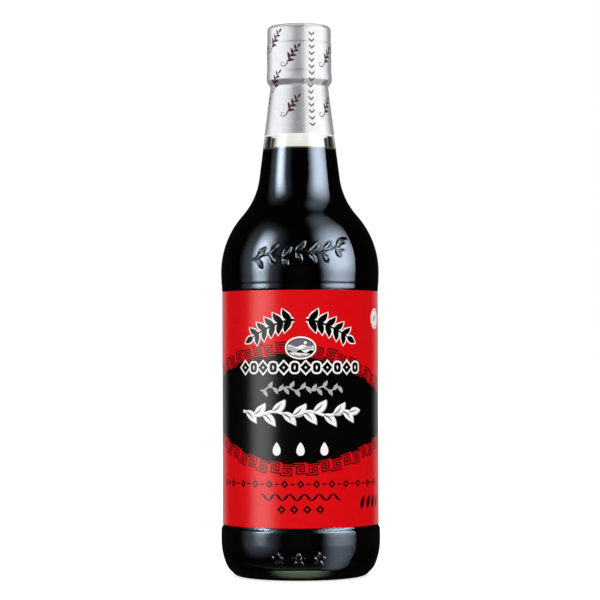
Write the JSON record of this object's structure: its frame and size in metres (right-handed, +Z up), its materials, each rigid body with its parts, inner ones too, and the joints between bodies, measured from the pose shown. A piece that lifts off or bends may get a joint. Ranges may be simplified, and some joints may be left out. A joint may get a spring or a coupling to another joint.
{
  "type": "soy sauce bottle",
  "caption": "Tall round glass bottle of dark soy sauce with a long neck, a red wrap-round paper label and a silver shrink capsule over its shut cap.",
  "frame": {"origin": "centre of the base, on the plane that the bottle stands on", "axes": "+Z up along the bottle's axis; the front of the label faces -Y"},
  "size_m": [0.07, 0.07, 0.2432],
  "materials": {
    "glass": "clear glass with a faint green tint",
    "sauce": "dark brown, almost black liquid",
    "paper": "coated red paper, printed",
    "film": "satin silver shrink film"
  },
  "bodies": {
    "root": {"glass_bottle": "glass", "soy_sauce": "sauce", "label": "paper", "neck_capsule": "film"}
  },
  "joints": []
}
